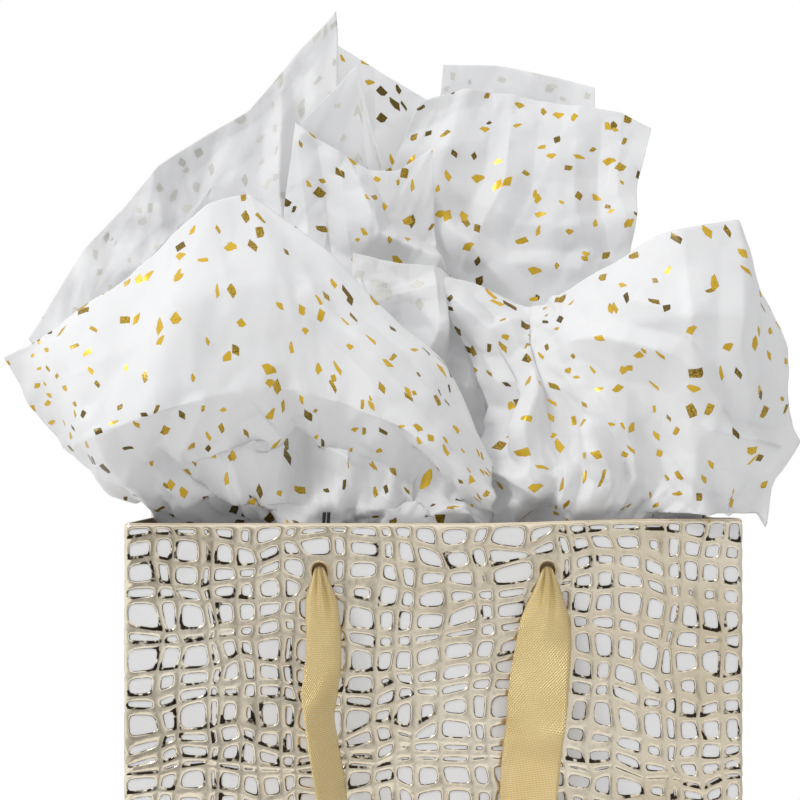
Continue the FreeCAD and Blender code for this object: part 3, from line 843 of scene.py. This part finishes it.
# Each lobe: the sheet that it belongs to, whether its printed face is in front, how crushed it is
# at its foot and at its free edge, and its columns from left to right, each from the mouth to the
# free edge.
LOBES = {
    "front_left": ("left", True, (0.55, 0.07), [
        [(-66, 14, 246), (-94, 2, 258), (-110, -12, 265), (-124, -24, 278),
         (-134, -31, 292), (-143, -38, 309)],
        [(-60, 2, 246), (-90, -28, 259), (-102, -42, 268), (-112, -58, 283),
         (-119, -50, 303), (-128, -34, 318)],
        [(-54, -10, 246), (-74, -44, 260), (-84, -46, 274), (-89, -66, 291),
         (-95, -54, 315), (-101, -32, 336)],
        [(-50, -40, 246), (-57, -46, 260), (-62, -40, 281), (-64, -56, 298),
         (-68, -50, 332), (-76, -24, 361)],
        [(-38, -38, 246), (-42, -43, 260), (-44, -37, 281), (-46, -51, 298),
         (-51, -44, 332), (-61, -21, 366)],
        [(-24, -38, 246), (-26, -43, 259), (-27, -38, 278), (-28, -50, 293),
         (-30, -44, 318), (-34, -26, 344)],
        [(-4, -40, 246), (-6, -50, 258), (-6, -44, 270), (-6, -56, 283),
         (-2, -50, 298), (3, -32, 308)],
        [(18, -40, 246), (19, -44, 251), (20, -43, 256), (20, -49, 262),
         (20, -46, 268), (20, -42, 274)],
    ]),
    "front_left_turnover": ("left", False, (0.05, 0.05), [
        [(-112, -26, 322), (-110, -26, 325), (-108, -26, 328), (-106, -26, 331), (-104, -26, 334)],
        [(-94, -20, 336), (-92, -20, 339), (-90, -20, 344), (-89, -20, 348), (-88, -20, 352)],
        [(-78, -16, 350), (-77, -16, 355), (-76, -16, 360), (-76, -16, 364), (-75, -16, 368)],
        [(-62, -15, 350), (-62, -15, 355), (-63, -15, 360), (-63, -15, 363), (-64, -15, 366)],
    ]),
    "back_left": ("back", False, (0.20, 0.12), [
        [(-88, 18, 246), (-105, 26, 265), (-121, 32, 284), (-134, 36, 302), (-145, 38, 317)],
        [(-82, 30, 246), (-97, 36, 280), (-109, 40, 308), (-119, 42, 333), (-126, 42, 349)],
        [(-72, 36, 246), (-86, 42, 290), (-97, 44, 325), (-105, 46, 351), (-110, 44, 366)],
        [(-62, 38, 246), (-74, 43, 295), (-85, 46, 335), (-93, 47, 363), (-99, 45, 380)],
        [(-50, 38, 246), (-60, 42, 300), (-69, 46, 345), (-76, 47, 376), (-80, 45, 392)],
        [(-40, 38, 246), (-48, 42, 305), (-56, 45, 353), (-61, 46, 386), (-66, 44, 400)],
        [(-30, 38, 246), (-38, 42, 305), (-43, 44, 363), (-49, 44, 400), (-51, 42, 417)],
        [(-24, 38, 246), (-30, 40, 310), (-33, 40, 370), (-34, 36, 411), (-35, 30, 434)],
    ]),
    "far_back": ("back", True, (0.15, 0.06), [
        [(-34, 44, 246), (-36, 48, 300), (-38, 54, 350), (-38, 57, 400), (-38, 56, 428)],
        [(-18, 44, 246), (-19, 52, 300), (-20, 60, 350), (-20, 62, 395), (-20, 60, 417)],
        [(0, 44, 246), (-1, 50, 300), (-2, 56, 350), (-2, 58, 388), (-2, 57, 406)],
        [(10, 44, 246), (9, 48, 300), (8, 52, 350), (8, 54, 385), (8, 54, 400)],
    ]),
    "inner_flap": ("back", False, (0.10, 0.04), [
        [(-40, 24, 256), (-42, 24, 300), (-44, 22, 340), (-45, 19, 375), (-46, 17, 393)],
        [(-30, 24, 256), (-31, 24, 300), (-32, 22, 340), (-32, 19, 385), (-33, 17, 406)],
        [(-24, 24, 256), (-25, 24, 300), (-25, 22, 340), (-26, 19, 390), (-26, 17, 413)],
        [(-18, 24, 256), (-19, 24, 300), (-20, 22, 340), (-21, 20, 375), (-22, 18, 395)],
        [(-14, 26, 256), (-14, 26, 300), (-15, 24, 335), (-15, 22, 360), (-16, 20, 376)],
    ]),
    "middle_left": ("back", True, (0.30, 0.12), [
        [(-52, 14, 250), (-54, 12, 290), (-54, 12, 330), (-52, 13, 365), (-48, 15, 393)],
        [(-38, 13, 250), (-38, 9, 290), (-38, 7, 330), (-37, 9, 362), (-35, 14, 384)],
        [(-22, 12, 250), (-22, 8, 290), (-22, 6, 325), (-22, 9, 355), (-21, 15, 376)],
        [(-6, 13, 250), (-6, 9, 290), (-8, 8, 320), (-10, 12, 352), (-12, 18, 376)],
        [(6, 16, 250), (6, 12, 290), (4, 12, 325), (2, 16, 358), (0, 22, 384)],
    ]),
    "back_right_lining": ("back", False, (0.12, 0.08), [
        [(0, 44, 246), (-2, 50, 300), (0, 56, 350), (2, 62, 390), (5, 64, 419)],
        [(20, 44, 246), (20, 54, 300), (22, 62, 350), (24, 66, 390), (25, 66, 419)],
        [(38, 44, 246), (40, 54, 300), (44, 62, 350), (46, 66, 385), (48, 64, 414)],
        [(54, 42, 246), (58, 48, 300), (60, 54, 350), (61, 58, 380), (61, 60, 410)],
    ]),
    "back_right": ("back", True, (0.24, 0.09), [
        [(-10, 28, 246), (-15, 24, 300), (-18, 26, 345), (-14, 30, 378), (-4, 35, 402)],
        [(4, 28, 246), (2, 22, 300), (2, 22, 345), (6, 30, 385), (12, 38, 407)],
        [(20, 22, 246), (20, 15, 300), (22, 21, 345), (27, 32, 382), (30, 44, 406)],
        [(36, 20, 246), (38, 13, 300), (42, 20, 345), (46, 32, 380), (50, 44, 402)],
        [(52, 20, 246), (56, 14, 300), (60, 22, 345), (65, 33, 378), (69, 42, 399)],
        [(62, 24, 246), (68, 18, 300), (71, 25, 345), (75, 34, 374), (80, 40, 394)],
    ]),
    "middle_valley": ("right", False, (0.30, 0.22), [
        [(-24, -18, 246), (-26, -15, 275), (-28, -14, 302), (-28, -13, 326), (-27, -11, 346)],
        [(-10, -16, 246), (-12, -13, 275), (-12, -12, 302), (-12, -12, 328), (-11, -10, 342)],
        [(4, -18, 246), (2, -14, 275), (2, -13, 302), (2, -12, 325), (3, -9, 340)],
        [(18, -20, 246), (18, -14, 275), (18, -11, 302), (18, -5, 320), (18, 2, 333)],
    ]),
    "front_right": ("right", True, (0.50, 0.08), [
        [(16, -26, 246), (20, -26, 258), (22, -24, 272), (19, -22, 292), (8, -14, 318), (3, -8, 337)],
        [(24, -40, 246), (28, -42, 258), (32, -44, 270), (30, -36, 294), (20, -20, 318), (17, -8, 335)],
        [(34, -38, 246), (38, -44, 257), (42, -48, 270), (38, -34, 296), (34, -24, 314), (34, -10, 327)],
        [(46, -42, 246), (50, -46, 258), (54, -52, 272), (52, -50, 294), (46, -40, 316), (41, -24, 330)],
        [(60, -44, 248), (64, -46, 258), (70, -50, 270), (67, -57, 294), (64, -60, 320), (62, -42, 342)],
        [(72, -42, 252), (76, -48, 258), (84, -57, 262), (84, -62, 288), (83, -71, 322), (81, -56, 350)],
        [(84, -40, 257), (90, -50, 259), (96, -57, 252), (103, -57, 282),
         (103, -63, 322), (100, -54, 354)],
        [(88, -28, 258), (98, -42, 259), (108, -50, 254), (118, -43, 288),
         (117, -46, 312), (108, -48, 332)],
    ]),
    "right_end": ("back", False, (0.22, 0.10), [
        [(58, 34, 246), (62, 34, 272), (66, 32, 298), (69, 29, 320), (71, 26, 336)],
        [(72, 24, 246), (78, 24, 272), (84, 22, 298), (87, 19, 322), (89, 16, 338)],
        [(84, 8, 246), (91, 6, 272), (97, 4, 298), (101, 1, 318), (102, -1, 330)],
        [(88, -8, 246), (96, -12, 272), (102, -16, 296), (105, -18, 312), (106, -20, 322)],
    ]),
}
# Long sharp folds, each as a run of (x, z) places, its reach on its left and on its right as one
# walks along it, and how far it stands out.
RIDGES = {
    "front_left": [
        ([(-97, 337), (-80, 317), (-63, 299)], 26, 12, 2.6),
        ([(-50, 286), (-68, 275), (-68, 264)], 7, 9, 4.0),
        ([(-42, 284), (-26, 272), (-20, 266)], 8, 6, 3.6),
        ([(-89, 272), (-74, 267), (-66, 258)], 6, 8, -3.4),
        ([(-41, 330), (-18, 306), (2, 283)], 8, 5, 2.2),
        ([(-112, 288), (-104, 274), (-92, 264)], 6, 8, 2.6),
        ([(-50, 300), (-44, 278), (-46, 262)], 6, 6, -3.0),
        ([(-76, 292), (-84, 280), (-80, 262)], 5, 6, 2.8),
        ([(-18, 290), (-10, 276), (4, 262)], 6, 6, -2.8),
    ],
    "back_left": [
        ([(-54, 407), (-54, 370), (-50, 330)], 5, 7, 2.6),
        ([(-46, 412), (-46, 370), (-42, 330)], 5, 7, -2.2),
        ([(-112, 350), (-92, 330), (-70, 300)], 10, 6, 2.4),
        ([(-90, 376), (-78, 350), (-70, 320)], 8, 6, -2.0),
    ],
    "middle_left": [
        ([(0, 343), (-6, 326), (-16, 300)], 7, 9, 4.0),
        ([(-14, 351), (0, 343), (8, 330)], 6, 8, 3.4),
        ([(-40, 384), (-36, 350), (-30, 320)], 7, 7, -3.4),
        ([(-26, 372), (-20, 352), (-2, 344)], 6, 8, 3.0),
        ([(-46, 350), (-30, 338), (-16, 330)], 6, 9, 2.6),
    ],
    "back_right": [
        ([(9, 361), (28, 350), (50, 348)], 8, 6, -2.6),
        ([(30, 404), (26, 372), (14, 350)], 10, 7, 2.0),
        ([(62, 396), (60, 368), (66, 340)], 7, 9, -2.0),
        ([(-6, 380), (10, 352), (30, 332)], 7, 7, 2.6),
    ],
    "middle_valley": [
        ([(0, 343), (2, 319), (-4, 292)], 7, 8, 5.0),
        ([(13, 334), (6, 310), (4, 280)], 6, 7, -4.6),
        ([(-22, 330), (-14, 305), (-16, 275)], 6, 8, 4.0),
        ([(-4, 300), (8, 284), (16, 268)], 5, 7, 4.0),
    ],
    "front_right": [
        ([(45, 323), (49, 314), (60, 316), (78, 311), (85, 305), (92, 295)], 5, 13, 3.6),
        ([(90, 286), (111, 280), (121, 283)], 5, 11, 3.4),
        ([(32, 308), (32, 285), (34, 270), (44, 260)], 12, 5, 4.4),
        ([(4, 332), (20, 318), (36, 322)], 6, 8, 3.4),
        ([(20, 318), (28, 302), (26, 284)], 6, 6, -3.4),
        ([(20, 288), (24, 273), (36, 262)], 5, 5, 4.6),
        ([(50, 300), (66, 284), (72, 266)], 8, 6, 2.6),
        ([(82, 268), (98, 262), (108, 266)], 8, 8, -2.6),
        ([(52, 284), (58, 270), (54, 258)], 6, 6, 3.2),
        ([(100, 340), (98, 312), (104, 292)], 9, 7, 2.0),
        ([(60, 336), (66, 326), (82, 322)], 7, 7, 2.0),
    ],
}
# Where each sheet is pinched, inside the bag.
THROAT = {"left": (-34, -8, 176), "right": (34, -8, 176), "back": (0, 29, 176)}
TURNOVERS = ("front_left_turnover",)
TISSUE_THICKNESS = 0.12 * MM
LOBE_ROWS, LOBE_COLUMNS = 190, 170
CRISP = 0.7
CRUSH = 2.8
LARGE_CREASE, SMALL_CREASE, PLEAT = 21 * MM, 8 * MM, 7 * MM
RIDGE_RISE = 1.9
# How far the tissue keeps from the walls near the rim and beside the knots, how high it lies where
# it crosses the rim, and the x from where the front right lobe crosses it.
RIM_GAP = 5.5 * MM
KNOT_GAP = 14 * MM
RIM_TOP = HEIGHT + 4.0 * MM
CROSSES_FROM = {"front_right": 74 * MM}


def tissue_lobe(name, seed):
    """Grid of one lobe, from the pinch inside the bag to its free edge, with flat coordinates."""
    sheet_name, printed, crushed, columns = LOBES[name]
    net = np.array(columns, float)
    if name not in TURNOVERS:
        centre = np.array(THROAT[sheet_name])
        pinch = centre + (net[:, :1] - centre) * (0.42, 0.5, 0)
        net = np.concatenate([pinch, net], axis=1)
    net = mm(np.swapaxes(net, 0, 1))
    grid = panels(net, LOBE_ROWS, LOBE_COLUMNS, CRISP)
    steps_up = np.linalg.norm(np.diff(grid, axis=0), axis=2).mean(1)
    steps_along = np.linalg.norm(np.diff(grid, axis=1), axis=2)[LOBE_ROWS // 2 :].mean(0)
    run_v = np.concatenate([[0], np.cumsum(steps_up)])
    run_u = np.concatenate([[0], np.cumsum(steps_along)])
    u, v = np.meshgrid(run_u, run_v)
    cut = (float(run_u[-1]), float(run_v[-1]))
    height = v / v.max()
    depth = crushed[0] + (crushed[1] - crushed[0]) * smooth_step(height, 0.35, 0.75)
    fold = creases(u, v, LARGE_CREASE, seed) + 0.55 * creases(u, v, SMALL_CREASE, seed + 7)
    soft = 0.8 * MM * drift(u, v, 0.06, seed + 3)
    soft = soft + 0.45 * pleats_at(u, height, PLEAT, seed + 5) * (crushed[0] + 0.2)
    x, z = grid[..., 0], grid[..., 2]
    for run, left_reach, right_reach, rise in RIDGES.get(name, ()):
        soft = soft + RIDGE_RISE * rise * MM * ridge(x, z, run, left_reach, right_reach)
    grid = grid + grid_normals(grid) * (CRUSH * fold * depth + soft)[..., None]
    grid = keep_inside(grid, CROSSES_FROM.get(name, 2 * HALF_WIDTH))
    uv = np.stack([u, v], axis=-1).reshape(-1, 2) + seed * 0.37
    return grid, uv, printed, cut


def ridge(x, z, run, left_reach, right_reach):
    """Sharp crest along a run of places: 1 on it, 0 beyond its reach to the left or right of it."""
    run = mm(run)
    nearest_gap = np.full(x.shape, np.inf)
    crest = np.zeros(x.shape)
    lengths = np.linalg.norm(np.diff(run, axis=0), axis=1)
    walked = np.concatenate([[0], np.cumsum(lengths)])
    for start, end, length, before in zip(run, run[1:], lengths, walked):
        dx, dz = (end - start) / length
        along = np.clip((x - start[0]) * dx + (z - start[1]) * dz, 0, length)
        side_x, side_z = x - start[0] - along * dx, z - start[1] - along * dz
        gap = np.hypot(side_x, side_z)
        reach = np.where(dx * side_z - dz * side_x > 0, left_reach, right_reach) * MM
        share = (before + along) / walked[-1]
        fade = 0.3 + 0.7 * np.sin(math.pi * np.clip(share, 0.08, 0.92))
        closer = gap < nearest_gap
        crest = np.where(closer, np.clip(1 - gap / reach, 0, 1) * fade, crest)
        nearest_gap = np.minimum(gap, nearest_gap)
    return crest


def keep_inside(grid, over_rim_from):
    """Below the rim the tissue stays within the walls; right of over_rim_from it lies over the rim."""
    x, y, z = (grid[..., axis] for axis in range(3))
    below = 1 - smooth_step(z, HEIGHT + 0.5 * MM, HEIGHT + 9 * MM)
    below *= 1 - smooth_step(x, over_rim_from - 5 * MM, over_rim_from)
    by_knots = 1 - smooth_step(z, HEIGHT - 9 * MM, HEIGHT - 2 * MM)
    gap = RIM_GAP + (KNOT_GAP - RIM_GAP) * by_knots
    room = np.stack([HALF_WIDTH - gap, HALF_DEPTH - gap], axis=-1)
    held = np.clip(grid[..., :2], -room, room)
    grid[..., :2] += below[..., None] * (held - grid[..., :2])
    from_rim = np.abs(np.maximum(x - HALF_WIDTH, -y - HALF_DEPTH))
    crossing = 1 - smooth_step(from_rim, 4.5 * MM, 9 * MM)
    crossing *= smooth_step(x, over_rim_from - 8 * MM, over_rim_from - 3 * MM)
    grid[..., 2] += crossing * np.maximum(RIM_TOP - z, 0)
    return grid


def build_tissue():
    """Each sheet is one piece: its lobes meet in the pinch inside the bag."""
    sheets = {}
    for seed, name in enumerate(LOBES):
        sheets.setdefault(LOBES[name][0], []).append(tissue_lobe(name, 100 + 13 * seed))
    for sheet_name, lobes in sheets.items():
        points, faces, uv, material_of, start = [], [], [], [], 0
        for grid, flat, printed, _ in lobes:
            rows, across = grid.shape[:2]
            lobe_faces = grid_faces(rows, across) + start
            points.append(grid.reshape(-1, 3))
            faces += lobe_faces.tolist()
            uv.append(flat)
            material_of += [0 if printed else 1] * len(lobe_faces)
            start += rows * across
        piece = mesh_object(
            f"{sheet_name}_tissue_sheet", np.concatenate(points), faces,
            [PRINTED, PLAIN, PRINTED], material_of, np.concatenate(uv),
        )
        thicken(piece, TISSUE_THICKNESS)
        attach(piece, f"tissue_sheet_{sheet_name}")
        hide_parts(f"tissue_{sheet_name}")


# --- the CAD pieces that stay ----------------------------------------------------------------


def dress_cad():
    """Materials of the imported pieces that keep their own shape."""
    finishes = {"foil_paper": FOIL, "kraft_lining": LINING, "grey_card": CARD, "black_cord": CORD}
    slots = {part["node"]: part["material_slot"] for part in frame["record"]["subparts"]}
    for name, thing in frame["nodes"].items():
        material = finishes.get(slots[name])
        if material is not None:
            thing.data.materials.clear()
            thing.data.materials.append(material)


# --- stage -----------------------------------------------------------------------------------


FLAG_STRENGTH = 0.72


def light(name, place, aim, size, power):
    lamp = bpy.data.lights.new(name, "AREA")
    lamp.shape = "DISK"
    lamp.size = size
    lamp.energy = power
    thing = bpy.data.objects.new(name, lamp)
    thing.location = place
    thing.rotation_euler = (Vector(aim) - Vector(place)).to_track_quat("-Z", "Y").to_euler()
    bpy.context.collection.objects.link(thing)


def build_stage():
    scene = bpy.context.scene
    scene.view_settings.view_transform = "Standard"
    scene.view_settings.look = "None"
    # A pale sky, brighter above and to the left, with a dark flag ahead of the bag on the left for
    # the foil to reflect; the camera sees plain white behind everything.
    world = bpy.data.worlds.new("studio")
    world.use_nodes = True
    n = Nodes(world.node_tree)
    x, y, z = n.parts(n.place("Generated"))
    height = n.maths("ADD", n.maths("MULTIPLY", x, -0.68), n.maths("MULTIPLY", z, 0.80))
    sky = n.node("ShaderNodeMapRange", {0: height, 1: -0.7, 2: 0.8, 3: 0.52, 4: 1.02}).outputs[0]
    ahead = n.ramp(n.maths("MULTIPLY", y, -1.0), 0.80, 0.97)
    left = n.maths("SUBTRACT", 1.0, n.ramp(x, -0.22, 0.12))
    flag = n.maths("MULTIPLY", n.maths("MULTIPLY", ahead, left), FLAG_STRENGTH)
    lit = n.maths("MULTIPLY", sky, n.maths("SUBTRACT", 1.0, flag))
    seen = n.node("ShaderNodeLightPath").outputs["Is Camera Ray"]
    strength = n.maths("MAXIMUM", lit, seen)
    background = n.node("ShaderNodeBackground", {0: rgb(1.0, 1.0, 1.0), 1: strength})
    output = n.node("ShaderNodeOutputWorld")
    n.tree.links.new(background.outputs[0], output.inputs["Surface"])
    scene.world = world
    below_base = (0, 0, -0.2 * MM)
    bpy.ops.mesh.primitive_circle_add(vertices=128, radius=0.8, fill_type="NGON", location=below_base)
    floor = bpy.context.object
    floor.name = "floor"
    s = Shader("pale_floor")
    tone = s.mix(s.noise(s.place(), 6.0), rgb(0.78, 0.78, 0.78), rgb(0.82, 0.82, 0.82))
    floor.data.materials.append(s.finish(s.principled({"Base Color": tone, "Roughness": 0.7})))
    light("key", (-1.0, -0.6, 1.4), (0, 0, 0.3), 0.35, 8)
    light("fill", (1.2, -1.0, 0.8), (0, 0, 0.25), 1.0, 0.4)
    camera = bpy.data.cameras.new("camera")
    camera.lens = 125.6
    camera.sensor_width = 36
    camera.clip_end = 20
    thing = bpy.data.objects.new("camera", camera)
    thing.location = (-0.011, -0.969, 0.295)
    thing.rotation_euler = (math.pi / 2, 0, 0)
    bpy.context.collection.objects.link(thing)
    scene.camera = thing


build_stage()
dress_cad()
build_bag()
build_hem()
for wall_name in ("front", "back"):
    build_ribbon(wall_name)
for knot_name, knot_box in KNOTS.items():
    build_knot(knot_name, knot_box)
build_cord()
build_tissue()
